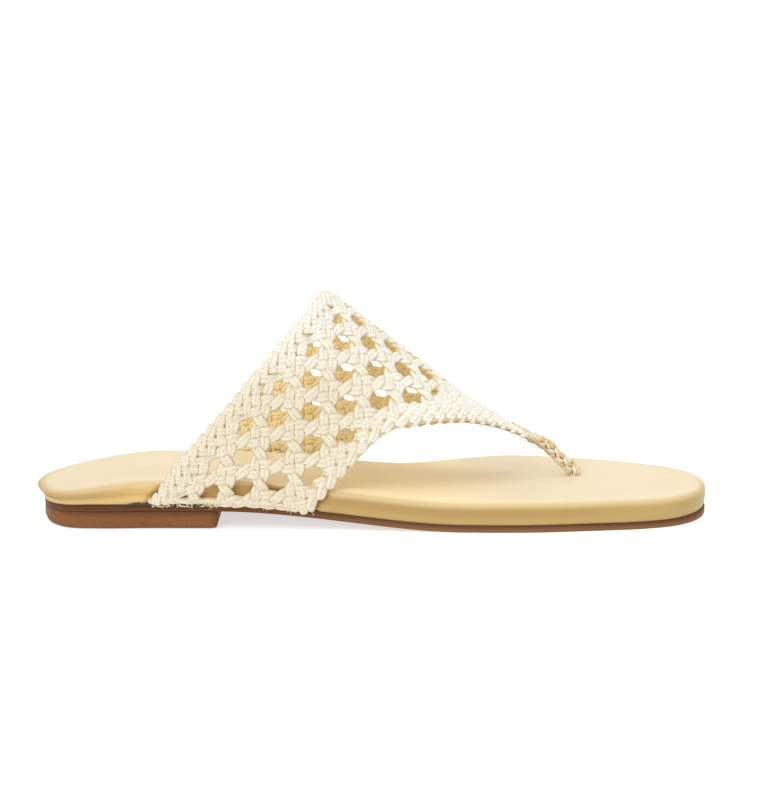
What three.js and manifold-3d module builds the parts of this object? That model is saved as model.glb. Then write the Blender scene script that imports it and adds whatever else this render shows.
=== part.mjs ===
// Right-foot thong sandal: a leather heel block and outsole, a padded footbed, and one woven upper.
// Millimetres, +Z up, +X towards the toe, +Y towards the inner side of the foot.
// The origin is the middle of the box at floor level.

import * as THREE from 'three';
import { mergeVertices } from 'three/addons/utils/BufferGeometryUtils.js';
import Module from 'manifold-3d';

const wasm = await Module();
wasm.setup();

// Clearance kept wherever two pieces meet
const gap = 0.3;

// Sole
const soleLength = 256.2;
const ballWidth = 88;
const outsoleThickness = 2.6;
const outsoleInset = 1.1;
const outsoleSetback = 2;
const outsoleEdge = 0.6;
const toeSpring = 0.6;
const toeSpringLength = 26;
const shankFrontX = 36;

// Heel block
const heelHeight = 6.6;
const heelLength = 68;
const heelInset = 1.6;
const heelSetback = 1.6;
const heelBreastSlant = 0.9;
const heelEdgeRadius = 2.4;
const breastRounding = 0.4;

// Footbed
const footbedThickness = 8.9;
const heelRimFall = 5.2;
const heelRimLength = 46;
const setbackLength = 36;
const fullRise = 0.6;

// Upper, laid out on the foot from the instep peak
const peakX = -17.8;
const crestY = 4.1;
const peakZ = 83.7;
const ridgeAngle = 37.8;
const sectionAngle = 42;
const instepDrop = 95.1;
const lateralReach = 44.1;
const medialReach = 18;
const medialAdvance = 6;
const sectionSkew = 0.042;
const wingWidth = 49.2;
const rearEdgeTuck = 2.4;
const wallThickness = 2.2;
const stripRise = 0.25;
const borderWidth = 4.8;
const borderThickness = 2.9;
const borderStripRise = 0.3;
const borderThinStart = 0.7;
const borderEnd = 0.88;
const borderThinning = 0.6;

// Weave: steps of the lattice along the foot and around it, and the size of a gap
const alongStep = 7.5;
const alongGrowth = 0.13;
const aroundStep = 9.58;
const firstRow = 8.6;
const crestRow = 12;
const medialSlip = 8.5;
const medialSlipRun = 26;
const gapShare = 0.3;
const crestShare = 0.4;
const crestRoundness = 0.86;
const gapRoundness = 0.74;

// Strap and toe post
const strapStart = 62.5;
const strapEnd = 97;
const strapLap = 3;
const strapSideInset = 0.4;
const postShapeStart = 76;
const strapLift = 0.13;
const strapLiftStart = 71;
const strapLiftSoftness = 10;
const strapThickness = 2.8;
const postDiameter = 4.2;
const postX = 79.6;
const postY = 3.8;
const slotLength = 8.2;

// How the upper's two feet follow the sole, and how far from the ridge its sides run
const tuckInset = 1.6;
const tuckHeight = 6;
const hugHeight = 26;
const sideStart = 45;
const sideEnd = 57;
const lateralRun = 128;
const medialRun = 118;
const rearTuckStart = 100;
const rearTuckEnd = 122;

// Outline of the footbed from above: shares of the length from the back,
// and of half the ball width, outer side negative
const soleOutline = [
  { along: 0.0, across: -0.18 },
  { along: 0.006, across: -0.44 },
  { along: 0.0215, across: -0.69 },
  { along: 0.052, across: -0.85 },
  { along: 0.1, across: -0.892 },
  { along: 0.18, across: -0.878 },
  { along: 0.33, across: -0.892 },
  { along: 0.48, across: -0.93 },
  { along: 0.6, across: -0.985 },
  { along: 0.73, across: -0.997 },
  { along: 0.82, across: -0.935 },
  { along: 0.9, across: -0.855 },
  { along: 0.952, across: -0.73 },
  { along: 0.986, across: -0.5 },
  { along: 1.0, across: -0.16 },
  { along: 0.993, across: 0.14 },
  { along: 0.968, across: 0.42 },
  { along: 0.92, across: 0.635 },
  { along: 0.86, across: 0.8 },
  { along: 0.78, across: 0.945 },
  { along: 0.71, across: 0.998 },
  { along: 0.65, across: 0.9 },
  { along: 0.6, across: 0.745 },
  { along: 0.55, across: 0.56 },
  { along: 0.49, across: 0.475 },
  { along: 0.38, across: 0.468 },
  { along: 0.26, across: 0.495 },
  { along: 0.16, across: 0.51 },
  { along: 0.09, across: 0.48 },
  { along: 0.04, across: 0.37 },
  { along: 0.0115, across: 0.14 },
];

// Side of the footbed: how far each level stands in, and its share of the thickness
const footbedSide = [
  { inset: 1.4, rise: 0 },
  { inset: 0.9, rise: 0.26 },
  { inset: 0.15, rise: 0.5 },
  { inset: 0, rise: 0.64 },
  { inset: 0.8, rise: 0.83 },
  { inset: 2.6, rise: 0.955 },
  { inset: 5.6, rise: 1 },
];

// Half of the upper's section, square to the ridge: shares of the reach and of the instep drop
const lateralSection = [
  { side: 1.0, drop: 1.09 },
  { side: 1.0, drop: 1.0 },
  { side: 1.054, drop: 0.831 },
  { side: 1.043, drop: 0.639 },
  { side: 0.9705, drop: 0.436 },
  { side: 0.85, drop: 0.242 },
  { side: 0.633, drop: 0.085 },
  { side: 0.297, drop: 0.0116 },
];
const medialSection = [
  { side: 0.36, drop: 0.022 },
  { side: 0.66, drop: 0.075 },
  { side: 0.9, drop: 0.19 },
  { side: 1.03, drop: 0.38 },
  { side: 1.07, drop: 0.6 },
  { side: 1.04, drop: 0.8 },
  { side: 1.0, drop: 1.0 },
  { side: 1.0, drop: 1.09 },
];

// Front edge of the upper: distance behind the wing's front edge or ahead of it, and from the ridge
const frontEdge = [
  { ahead: 0, fromRidge: 108 },
  { ahead: 0, fromRidge: 80 },
  { ahead: -0.2, fromRidge: 64 },
  { ahead: 0.7, fromRidge: 51 },
  { ahead: 3.8, fromRidge: 43 },
  { ahead: 8.5, fromRidge: 37.5 },
  { ahead: 14, fromRidge: 31 },
  { ahead: 21.5, fromRidge: 23.5 },
  { ahead: 29, fromRidge: 17 },
  { ahead: 36.5, fromRidge: 11.5 },
  { ahead: 44, fromRidge: 7.4 },
  { ahead: 52, fromRidge: 5.2 },
  { ahead: 60, fromRidge: 4.2 },
];

// Worked out from the sizes above
const heelTopZ = heelHeight + gap;
const breastX = heelInset + heelSetback + heelLength - soleLength / 2;
const footbedLift = outsoleThickness + gap;
const ridge = THREE.MathUtils.degToRad(ridgeAngle);
const tilt = THREE.MathUtils.degToRad(sectionAngle);

const stationCount = 40;
const heelStations = 26;
const strapRings = 13;
const postRings = 10;
const searchSteps = 30;
const outlineSamples = 640;
const sectionSamples = 260;

function share(low, high, value) {
  return THREE.MathUtils.clamp((value - low) / (high - low), 0, 1);
}

function ease(low, high, value) {
  const t = share(low, high, value);
  return t * t * (3 - 2 * t);
}

function tableAt(points, x) {
  for (let i = 1; i < points.length; i += 1) {
    const [x0, y0] = points[i - 1];
    const [x1, y1] = points[i];
    if ((x - x0) * (x - x1) <= 0 && x0 !== x1) {
      return y0 + ((y1 - y0) * (x - x0)) / (x1 - x0);
    }
  }
  const first = points[0];
  const last = points[points.length - 1];
  return Math.abs(x - first[0]) < Math.abs(x - last[0]) ? first[1] : last[1];
}

// Sole outline

const outlineCurve = new THREE.CatmullRomCurve3(
  soleOutline.map((row) => new THREE.Vector3((row.along - 0.5) * soleLength, (row.across * ballWidth) / 2, 0)),
  true,
  'centripetal',
);
outlineCurve.arcLengthDivisions = outlineSamples;
const outlinePoints = outlineCurve.getSpacedPoints(outlineSamples).slice(0, outlineSamples);

// The outline stood in all round by `inset`, and by `setback` more at the back
function insetRing(inset, setback = 0) {
  const back = -soleLength / 2;
  return outlinePoints.map((point, i) => {
    const before = outlinePoints[(i + outlineSamples - 1) % outlineSamples];
    const after = outlinePoints[(i + 1) % outlineSamples];
    const direction = new THREE.Vector2(after.x - before.x, after.y - before.y).normalize();
    const forward = setback * (1 - share(back, back + setbackLength, point.x)) ** 2;
    return [point.x - direction.y * inset + forward, point.y + direction.x * inset];
  });
}

// The outer and inner halves of the outline, both from back to toe
function insetSides(inset, setback) {
  const ring = insetRing(inset, setback);
  let back = 0;
  let toe = 0;
  ring.forEach((point, i) => {
    if (point[0] < ring[back][0]) back = i;
    if (point[0] > ring[toe][0]) toe = i;
  });
  const walk = (from, to) => {
    const points = [];
    for (let i = from; i !== to; i = (i + 1) % ring.length) points.push(ring[i]);
    points.push(ring[to]);
    return points;
  };
  return { lateral: walk(back, toe), medial: walk(toe, back).reverse() };
}

const outerSides = insetSides(0);

function soleEdge(side, x) {
  return tableAt(side < 0 ? outerSides.lateral : outerSides.medial, x);
}

// Undersurface of the outsole: on the heel block, down through the shank, flat at the ball, up at the toe
function soleRise(x) {
  const spring = share(soleLength / 2 - toeSpringLength, soleLength / 2, x);
  return heelTopZ * (1 - ease(breastX, shankFrontX, x)) + toeSpring * spring * spring;
}

function seatZ(x) {
  return soleRise(x) + outsoleThickness;
}

// A ring of stations with the same x on both sides: back, outer side, toe, inner side
function ringAt(inset, setback, heightAt) {
  const { lateral, medial } = insetSides(inset, setback);
  const backX = lateral[0][0];
  const toeX = lateral[lateral.length - 1][0];
  const ring = [];
  const place = (side, j) => {
    const x = THREE.MathUtils.lerp(backX, toeX, (1 - Math.cos((Math.PI * j) / stationCount)) / 2);
    return new THREE.Vector3(x, tableAt(side, x), heightAt(x));
  };
  for (let j = 0; j <= stationCount; j += 1) ring.push(place(lateral, j));
  for (let j = stationCount - 1; j > 0; j -= 1) ring.push(place(medial, j));
  return ring;
}

// Geometry from triangles

function geometryFrom(triangles) {
  const positions = new Float32Array(triangles.length * 9);
  triangles.forEach((corners, t) => {
    corners.forEach((corner, c) => corner.toArray(positions, t * 9 + c * 3));
  });
  const geometry = new THREE.BufferGeometry();
  geometry.setAttribute('position', new THREE.BufferAttribute(positions, 3));
  return mergeVertices(geometry, 1e-4);
}

function pushQuad(triangles, a, b, c, d) {
  [[a, b, c], [a, c, d]].forEach((corners) => {
    const flat = corners[0].distanceTo(corners[1]) < 1e-4
      || corners[1].distanceTo(corners[2]) < 1e-4
      || corners[2].distanceTo(corners[0]) < 1e-4;
    if (!flat) triangles.push(corners);
  });
}

function toManifold(geometry) {
  const mesh = new wasm.Mesh({
    numProp: 3,
    vertProperties: geometry.attributes.position.array,
    triVerts: new Uint32Array(geometry.index.array),
  });
  return new wasm.Manifold(mesh);
}

function fromManifold(solid) {
  const { vertProperties, triVerts } = solid.getMesh();
  const geometry = new THREE.BufferGeometry();
  geometry.setAttribute('position', new THREE.BufferAttribute(vertProperties, 3));
  geometry.setIndex(new THREE.BufferAttribute(triVerts, 1));
  return geometry;
}

// Rings stacked from the lowest to the highest, closed straight across at both ends
function stackRings(rings) {
  const triangles = [];
  const count = rings[0].length;
  for (let r = 1; r < rings.length; r += 1) {
    for (let i = 0; i < count; i += 1) {
      const next = (i + 1) % count;
      pushQuad(triangles, rings[r - 1][i], rings[r - 1][next], rings[r][next], rings[r][i]);
    }
  }
  const low = rings[0];
  const high = rings[rings.length - 1];
  for (let j = 0; j < Math.floor(count / 2); j += 1) {
    const across = (count - j) % count;
    const acrossNext = count - j - 1;
    pushQuad(triangles, high[j], high[j + 1], high[acrossNext], high[across]);
    pushQuad(triangles, low[across], low[acrossNext], low[j + 1], low[j]);
  }
  return geometryFrom(triangles);
}

// A closed solid between two grids of points, the front grid's faces pointing out
function slab(front, back) {
  const triangles = [];
  const rows = front.length;
  const columns = front[0].length;
  for (let r = 1; r < rows; r += 1) {
    for (let c = 1; c < columns; c += 1) {
      pushQuad(triangles, front[r - 1][c - 1], front[r][c - 1], front[r][c], front[r - 1][c]);
      pushQuad(triangles, back[r - 1][c - 1], back[r - 1][c], back[r][c], back[r][c - 1]);
    }
    pushQuad(triangles, front[r][0], front[r - 1][0], back[r - 1][0], back[r][0]);
    const last = columns - 1;
    pushQuad(triangles, front[r - 1][last], front[r][last], back[r][last], back[r - 1][last]);
  }
  for (let c = 1; c < columns; c += 1) {
    pushQuad(triangles, front[0][c - 1], front[0][c], back[0][c], back[0][c - 1]);
    const last = rows - 1;
    pushQuad(triangles, front[last][c], front[last][c - 1], back[last][c - 1], back[last][c]);
  }
  return geometryFrom(triangles);
}

function range(from, to, count) {
  return Array.from({ length: count + 1 }, (_, i) => from + ((to - from) * i) / count);
}

// The upper's surface: `along` runs down the ridge from the peak,
// `around` runs over the foot from the ridge, outer side negative

const sectionCurve = new THREE.SplineCurve([
  ...lateralSection.map((row) => new THREE.Vector2(-row.side * lateralReach, row.drop * instepDrop)),
  new THREE.Vector2(0, 0),
  ...medialSection.map((row) => new THREE.Vector2(row.side * medialReach, row.drop * instepDrop)),
]);
sectionCurve.arcLengthDivisions = sectionSamples * 4;
const sectionPoints = sectionCurve.getSpacedPoints(sectionSamples);
const sectionStep = sectionCurve.getLength() / sectionSamples;
const crestSample = sectionPoints.findIndex((point) => point.x >= 0)
  - share(0, 1, sectionPoints.find((point) => point.x >= 0).x / sectionStep);

function sectionAt(around) {
  const sample = THREE.MathUtils.clamp(crestSample + around / sectionStep, 0, sectionSamples - 1e-6);
  const low = Math.floor(sample);
  return sectionPoints[low].clone().lerp(sectionPoints[low + 1], sample - low);
}

function ridgeLift(along) {
  const past = along - strapLiftStart;
  return (strapLift / 2) * (past + Math.hypot(past, strapLiftSoftness));
}

function shell(along, around) {
  const section = sectionAt(around);
  const up = ridgeLift(along) - section.y;
  const inner = Math.max(section.x, 0) / medialReach;
  const skew = sectionSkew * section.x + medialAdvance * inner * inner;
  const x = peakX + along * Math.cos(ridge) + up * Math.sin(tilt) + skew;
  const z = peakZ - along * Math.sin(ridge) + up * Math.cos(tilt);
  const rise = z - seatZ(x);
  const inset = tuckInset * (1 - share(0, tuckHeight, rise)) ** 2;
  const hug = (1 - ease(0, hugHeight, rise)) * ease(sideStart, sideEnd, Math.abs(around));
  const side = Math.sign(around);
  const edge = soleEdge(side, x) - side * inset;
  return new THREE.Vector3(x, THREE.MathUtils.lerp(crestY + section.x, edge, hug), z);
}

function shellNormal(along, around) {
  const step = 0.5;
  const forward = shell(along + step, around).sub(shell(along - step, around));
  const over = shell(along, around + step).sub(shell(along, around - step));
  return forward.cross(over).normalize();
}

function onShell(along, around, height) {
  return shell(along, around).addScaledVector(shellNormal(along, around), height);
}

// Where the surface is a given height above the outsole
function aroundAtRise(along, side, rise) {
  let low = sideStart;
  let high = lateralRun;
  for (let i = 0; i < searchSteps; i += 1) {
    const middle = (low + high) / 2;
    const point = shell(along, side * middle);
    if (point.z - seatZ(point.x) > rise) low = middle;
    else high = middle;
  }
  return side * low;
}

const edgeCurve = new THREE.SplineCurve(
  frontEdge.map((row) => new THREE.Vector2(wingWidth + row.ahead, row.fromRidge)),
);
const edgePoints = edgeCurve.getSpacedPoints(120);

function halfWidthAt(along) {
  const ahead = edgePoints.filter((point) => point.y < sideEnd).map((point) => [point.x, point.y]);
  return tableAt(ahead, along);
}

function frontAt(around) {
  return tableAt(edgePoints.map((point) => [point.y, point.x]), Math.abs(around));
}

// Weave: one tile for each gap of the lattice, a diamond between four crossings

function rowAlong(row) {
  return firstRow + row * (alongStep + row * alongGrowth);
}

// Past the crest the medial gaps draw in, half a gap out of step with the lateral ones
function ringAround(ring) {
  const around = (ring - crestRow) * aroundStep;
  return around - medialSlip * ease(0, medialSlipRun, around);
}

function latticePoint(row, ring, height) {
  return onShell(rowAlong(row), ringAround(ring), height);
}

// Eight places round a tile at a share of the pitch, from a crossing to the middle of an edge and so on
const tileTurns = [
  [1, 1],
  [1, 0],
  [1, -1],
  [0, -1],
  [-1, -1],
  [-1, 0],
  [-1, 1],
  [0, 1],
];

function tileRing(row, ring, size, roundness, heights) {
  return tileTurns.map(([di, dj], turn) => {
    const corner = di !== 0 && dj !== 0;
    const reach = size * (corner ? roundness : 1);
    return latticePoint(row + (di - dj) * reach, ring + (di + dj) * reach, heights[corner ? 0 : 1]);
  });
}

function joinRings(triangles, outer, inner) {
  outer.forEach((point, i) => {
    const next = (i + 1) % outer.length;
    pushQuad(triangles, point, inner[i], inner[next], outer[next]);
  });
}

const half = wallThickness / 2;

function pushTile(triangles, row, ring, open) {
  const edgeTop = tileRing(row, ring, 0.5, 1, [half, half + stripRise]);
  const edgeBack = tileRing(row, ring, 0.5, 1, [-half, -half]);
  if (!open) {
    const top = latticePoint(row, ring, half + stripRise);
    const back = latticePoint(row, ring, -half);
    edgeTop.forEach((point, i) => {
      const next = (i + 1) % edgeTop.length;
      triangles.push([point, top, edgeTop[next]]);
      triangles.push([edgeBack[i], edgeBack[next], back]);
    });
    return;
  }
  const crest = tileRing(row, ring, crestShare, crestRoundness, [half + stripRise, half + stripRise]);
  const rimTop = tileRing(row, ring, gapShare, gapRoundness, [half - stripRise, half - stripRise]);
  const rimBack = tileRing(row, ring, gapShare, gapRoundness, [-half, -half]);
  joinRings(triangles, edgeTop, crest);
  joinRings(triangles, crest, rimTop);
  joinRings(triangles, rimTop, rimBack);
  joinRings(triangles, rimBack, edgeBack);
}

// The rear edge is square to the ridge and draws forward where it meets the sole
function rearAt(around) {
  return rearEdgeTuck * ease(rearTuckStart, rearTuckEnd, Math.abs(around));
}

function isOpen(row, ring) {
  const along = rowAlong(row);
  const around = ringAround(ring);
  const margin = borderWidth + gapShare * alongStep;
  if (along < margin || along > frontAt(around) - margin) return false;
  const point = shell(along, around);
  return point.z - seatZ(point.x) > tuckInset;
}

function latticeSolid() {
  const firstTile = -2;
  const lastRing = 26;
  const lastRow = 9;
  const tilesBeyond = 2.6;
  const triangles = [];
  const walls = new Map();
  for (let row = firstTile; row <= lastRow; row += 1) {
    for (let ring = firstTile; ring <= lastRing; ring += 1) {
      const along = rowAlong(row);
      const reach = frontAt(ringAround(ring));
      const inPattern = (row + ring) % 2 === 0;
      if (inPattern && along < Math.min(reach, strapStart) + tilesBeyond * alongStep) {
        pushTile(triangles, row, ring, isOpen(row, ring));
        tileTurns.forEach(([di, dj], turn) => {
          const [ei, ej] = tileTurns[(turn + 1) % tileTurns.length];
          const from = [row + (di - dj) / 2, ring + (di + dj) / 2];
          const to = [row + (ei - ej) / 2, ring + (ei + ej) / 2];
          const back = `${to}/${from}`;
          if (walls.has(back)) walls.delete(back);
          else walls.set(`${from}/${to}`, { from, to, fromCorner: di !== 0 && dj !== 0 });
        });
      }
    }
  }
  walls.forEach(({ from, to, fromCorner }) => {
    const [fromTop, toTop] = fromCorner ? [half, half + stripRise] : [half + stripRise, half];
    pushQuad(
      triangles,
      latticePoint(...from, fromTop),
      latticePoint(...to, toTop),
      latticePoint(...to, -half),
      latticePoint(...from, -half),
    );
  });
  return toManifold(geometryFrom(triangles));
}

// The woven field ends inside the borders
function fieldCutter() {
  const inside = borderWidth / 3;
  const build = (height) => range(inside - lateralRun, medialRun - inside, 46).map((around) => {
    const front = Math.min(frontAt(around) - inside, strapStart + strapLap);
    return [rearAt(around) + inside, front].map((along) => onShell(along, around, height));
  });
  const thick = 2 * wallThickness;
  return toManifold(slab(flip(build(thick)), flip(build(-thick))));
}

function flip(grid) {
  return grid.map((row) => [...row].reverse());
}

// A border's section: share of its width and height of its face, two strips side by side
const borderSection = [
  { across: 0, strip: 0 },
  { across: 0.24, strip: 1 },
  { across: 0.5, strip: 0 },
  { across: 0.76, strip: 1 },
  { across: 1, strip: 0 },
];

function borderGrids(stations) {
  const build = (side) => stations.map(({ edge, inward, thin }) => borderSection.map((row) => {
    const place = edge.clone().addScaledVector(inward, row.across * borderWidth);
    const strip = side > 0 ? row.strip * borderStripRise : 0;
    return onShell(place.x, place.y, thin * (side * borderThickness / 2 + strip));
  }));
  return { top: build(1), back: build(-1) };
}

function rearBorder() {
  const stations = range(-lateralRun, medialRun, 48).map((around) => ({
    edge: new THREE.Vector2(rearAt(around), around),
    inward: new THREE.Vector2(1, 0),
    thin: 1,
  }));
  const { top, back } = borderGrids(stations);
  return toManifold(slab(flip(top), flip(back)));
}

function frontBorder(side) {
  const stations = range(0, borderEnd, 34).map((u) => {
    const point = edgeCurve.getPointAt(u);
    const direction = edgeCurve.getTangentAt(u);
    return {
      edge: new THREE.Vector2(point.x, side * point.y),
      inward: new THREE.Vector2(direction.y, -side * direction.x),
      thin: 1 - borderThinning * ease(borderThinStart, borderEnd, u),
    };
  });
  const { top, back } = borderGrids(stations);
  return toManifold(side < 0 ? slab(top, back) : slab(flip(top), flip(back)));
}

// The strap's last stretch: shares of the way to the post and of the fall to the footbed
const postRoute = [
  { ahead: 0.22, fall: 0.13 },
  { ahead: 0.47, fall: 0.37 },
  { ahead: 0.69, fall: 0.67 },
  { ahead: 0.89, fall: 0.93 },
];

// Strap and post: one loft of sections, flat over the foot and round where it enters the footbed
const strapSection = [
  { across: -1, face: 0 },
  { across: -0.78, face: 1 },
  { across: -0.52, face: 0.8 },
  { across: -0.26, face: 1 },
  { across: 0, face: 0.8 },
  { across: 0.26, face: 1 },
  { across: 0.52, face: 0.8 },
  { across: 0.78, face: 1 },
  { across: 1, face: 0 },
  { across: 0.6, face: -1 },
  { across: 0, face: -1 },
  { across: -0.6, face: -1 },
];

function strapSolid() {
  const sections = range(strapStart, strapEnd, strapRings).map((along) => {
    const thick = THREE.MathUtils.lerp(strapThickness, postDiameter, ease(postShapeStart, strapEnd, along)) / 2;
    const wide = Math.max(halfWidthAt(along) - strapSideInset, postDiameter / 2);
    return strapSection.map((row) => onShell(along, row.across * wide, row.face * thick));
  });
  const radius = postDiameter / 2;
  const start = shell(strapEnd, 0);
  const topZ = soleRise(postX) + footbedLift + footbedThickness;
  const route = new THREE.CatmullRomCurve3([
    start,
    ...postRoute.map((row) => new THREE.Vector3(
      THREE.MathUtils.lerp(start.x, postX, row.ahead),
      THREE.MathUtils.lerp(start.y, postY, row.ahead),
      THREE.MathUtils.lerp(start.z, topZ, row.fall),
    )),
    new THREE.Vector3(postX, postY, seatZ(postX) + gap),
  ]);
  range(1, postRings, postRings - 1).forEach((ring) => {
    const centre = route.getPoint(ring / postRings);
    const direction = ring === postRings ? new THREE.Vector3(0, 0, -1) : route.getTangent(ring / postRings);
    const across = new THREE.Vector3(0, 1, 0);
    const face = direction.clone().cross(across).normalize();
    sections.push(strapSection.map((row) => {
      const angle = Math.atan2(row.face, row.across);
      return centre.clone()
        .addScaledVector(across, Math.cos(angle) * radius)
        .addScaledVector(face, Math.sin(angle) * radius);
    }));
  });
  const triangles = [];
  const count = strapSection.length;
  for (let s = 1; s < sections.length; s += 1) {
    for (let i = 0; i < count; i += 1) {
      const next = (i + 1) % count;
      pushQuad(triangles, sections[s - 1][i], sections[s][i], sections[s][next], sections[s - 1][next]);
    }
  }
  const first = sections[0];
  const last = sections[sections.length - 1];
  for (let i = 1; i < count - 1; i += 1) {
    triangles.push([first[0], first[i], first[i + 1]]);
    triangles.push([last[0], last[i + 1], last[i]]);
  }
  return toManifold(geometryFrom(triangles));
}

// Everything below the seat of the upper on the outsole
function belowSeat() {
  const halfWidth = ballWidth;
  const rows = (heightAt) => range(-soleLength / 2, soleLength / 2, 60).map((x) => (
    [-halfWidth, halfWidth].map((y) => new THREE.Vector3(x, y, heightAt(x)))
  ));
  return toManifold(slab(rows((x) => seatZ(x) + gap), rows(() => -instepDrop / 2)));
}

function makeUpper() {
  const field = latticeSolid().intersect(fieldCutter());
  return field
    .add(rearBorder())
    .add(frontBorder(-1))
    .add(frontBorder(1))
    .add(strapSolid())
    .subtract(belowSeat())
    .simplify(0.01);
}

// Recess in the footbed's side that the upper's foot lies in
function wingRecess(side) {
  const reach = borderThickness / 2 + borderStripRise + gap;
  const build = (height) => range(-2 * gap, wingWidth + 2 * gap, 12).map((along) => (
    range(-footbedLift, footbedThickness + 2 * footbedLift, 8).map((rise) => onShell(along, aroundAtRise(along, side, rise), height))
  ));
  const out = build(reach);
  const inside = build(-reach);
  return toManifold(side < 0 ? slab(out, inside) : slab(flip(out), flip(inside)));
}

function makeFootbed() {
  const back = -soleLength / 2;
  const rings = footbedSide.map((row) => {
    const setback = outsoleSetback * (1 - share(0, fullRise, row.rise));
    return ringAt(row.inset, setback, (x) => {
      const fall = heelRimFall * row.rise * (1 - ease(back, back + heelRimLength, x));
      return soleRise(x) + footbedLift + row.rise * footbedThickness - fall;
    });
  });
  const slotWidth = postDiameter + 2 * gap;
  const slot = new THREE.CylinderGeometry(slotWidth / 2, slotWidth / 2, soleLength, 16);
  slot.rotateX(Math.PI / 2);
  slot.scale(slotLength / slotWidth, 1, 1);
  slot.translate(postX + 2 * gap + (slotWidth - slotLength) / 2, postY, 0);
  slot.deleteAttribute('normal');
  slot.deleteAttribute('uv');
  return toManifold(stackRings(rings))
    .subtract(wingRecess(-1))
    .subtract(wingRecess(1))
    .subtract(toManifold(mergeVertices(slot)))
    .simplify(0.01);
}

function makeOutsole() {
  const top = (x) => soleRise(x) + outsoleThickness;
  const rings = [
    ringAt(outsoleInset + outsoleEdge, outsoleSetback, soleRise),
    ringAt(outsoleInset, outsoleSetback, (x) => soleRise(x) + outsoleEdge),
    ringAt(outsoleInset, outsoleSetback, top),
  ];
  return stackRings(rings);
}

// Heel block: the back of the outline, rounded under at the edge and cut off at the breast
const heelSide = [
  { inset: 1, rise: 0 },
  { inset: 0.3, rise: 0.28 },
  { inset: 0, rise: 1 },
];

function makeHeel() {
  const levels = [
    ...heelSide.map((row) => ({ inset: row.inset * heelEdgeRadius, z: row.rise * heelEdgeRadius })),
    { inset: 0, z: heelHeight },
  ];
  return stackRings(levels.map(({ inset, z }) => {
    const { lateral, medial } = insetSides(heelInset + inset, heelSetback);
    const back = lateral[0][0];
    const front = breastX - heelBreastSlant * (1 - z / heelHeight) - inset * breastRounding;
    const xs = range(0, Math.PI / 2, heelStations).map((turn) => (
      THREE.MathUtils.lerp(back, front, 1 - Math.cos(turn))
    ));
    const outer = xs.map((x) => new THREE.Vector3(x, tableAt(lateral, x), z));
    const inner = xs.slice(1).reverse().map((x) => new THREE.Vector3(x, tableAt(medial, x), z));
    return [...outer, ...inner];
  }));
}

// Materials

const woven = new THREE.MeshStandardMaterial({ color: 0xece5d2, roughness: 0.7, metalness: 0 });
const paddedLeather = new THREE.MeshStandardMaterial({ color: 0xe9d4a0, roughness: 0.5, metalness: 0 });
const soleLeather = new THREE.MeshStandardMaterial({ color: 0x6b4229, roughness: 0.6, metalness: 0 });
const heelLeather = new THREE.MeshStandardMaterial({ color: 0x97663f, roughness: 0.6, metalness: 0 });

function named(name, geometry, material) {
  const mesh = new THREE.Mesh(geometry, material);
  mesh.name = name;
  return mesh;
}

const sandal = new THREE.Group();
sandal.add(
  named('heel_block', makeHeel(), heelLeather),
  named('outsole', makeOutsole(), soleLeather),
  named('footbed', fromManifold(makeFootbed()), paddedLeather),
  named('upper', fromManifold(makeUpper()), woven),
);

export default sandal;
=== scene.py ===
import math
import bmesh
import bpy
import numpy as np
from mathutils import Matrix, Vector


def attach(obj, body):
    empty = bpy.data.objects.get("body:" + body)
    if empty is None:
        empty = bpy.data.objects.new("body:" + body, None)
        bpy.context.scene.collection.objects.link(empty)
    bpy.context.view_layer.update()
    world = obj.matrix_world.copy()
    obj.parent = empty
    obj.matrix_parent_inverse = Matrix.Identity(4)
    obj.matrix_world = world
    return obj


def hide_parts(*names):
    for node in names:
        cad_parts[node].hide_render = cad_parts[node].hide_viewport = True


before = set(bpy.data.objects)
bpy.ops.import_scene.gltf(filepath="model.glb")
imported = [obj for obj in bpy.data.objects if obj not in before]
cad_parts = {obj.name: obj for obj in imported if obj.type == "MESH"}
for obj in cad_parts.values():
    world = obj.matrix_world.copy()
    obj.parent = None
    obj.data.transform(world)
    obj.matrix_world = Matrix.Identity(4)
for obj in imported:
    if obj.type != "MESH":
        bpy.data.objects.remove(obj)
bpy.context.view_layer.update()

mm = 0.001  # the sizes below are millimetres, as in the part's source


# Sockets and nodes

class Wire:
    def __init__(self, graph, socket):
        self.graph = graph
        self.socket = socket

    def math(self, operation, *others):
        return self.graph.node("ShaderNodeMath", dict(enumerate((self, *others))), {"operation": operation})

    def __add__(self, other):
        return self.math("ADD", other)

    def __sub__(self, other):
        return self.math("SUBTRACT", other)

    def __mul__(self, other):
        return self.math("MULTIPLY", other)

    def __truediv__(self, other):
        return self.math("DIVIDE", other)

    def __rsub__(self, other):
        return self * -1 + other

    __radd__ = __add__
    __rmul__ = __mul__

    def sine(self):
        return self.math("SINE")

    def absolute(self):
        return self.math("ABSOLUTE")

    def clamped(self):
        return self.graph.node("ShaderNodeClamp", {"Value": self})

    def between(self, low, high):  # 0 below low, 1 above high, smooth between
        values = {0: self, 1: low, 2: high, 3: 0, 4: 1}
        return self.graph.node("ShaderNodeMapRange", values, {"interpolation_type": "SMOOTHSTEP"})


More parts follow.
